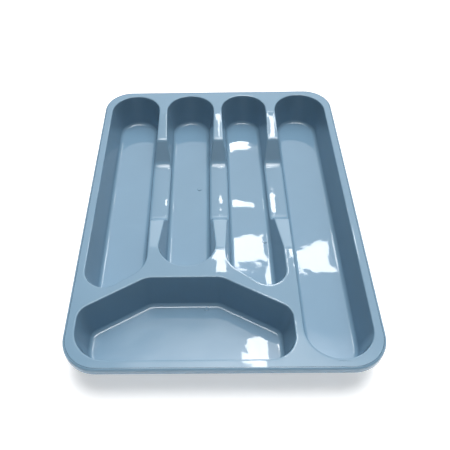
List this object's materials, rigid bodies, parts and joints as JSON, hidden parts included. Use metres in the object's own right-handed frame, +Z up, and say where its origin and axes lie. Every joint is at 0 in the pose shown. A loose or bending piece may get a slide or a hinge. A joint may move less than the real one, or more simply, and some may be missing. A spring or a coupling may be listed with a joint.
{
  "type": "cutlery tray",
  "caption": "Moulded plastic cutlery tray for a drawer: long round-ended wells side by side, a wide tapered front well, a finger dip across the dividers and a turned-down rim.",
  "frame": {"origin": "centre of the tray's plan, at the level of the flat undersides of the wells", "axes": "+X to the long well's side, +Y along the long wells away from the front well, +Z up"},
  "size_m": [0.29, 0.395, 0.041],
  "materials": {
    "tray_plastic": "high gloss, injection moulded, opaque grey-blue"
  },
  "bodies": {
    "root": {"rim": "tray_plastic", "left_well": "tray_plastic", "middle_left_well": "tray_plastic", "middle_right_well": "tray_plastic", "long_well": "tray_plastic", "front_well": "tray_plastic", "left_divider": "tray_plastic", "middle_divider": "tray_plastic", "right_divider": "tray_plastic"}
  },
  "joints": []
}
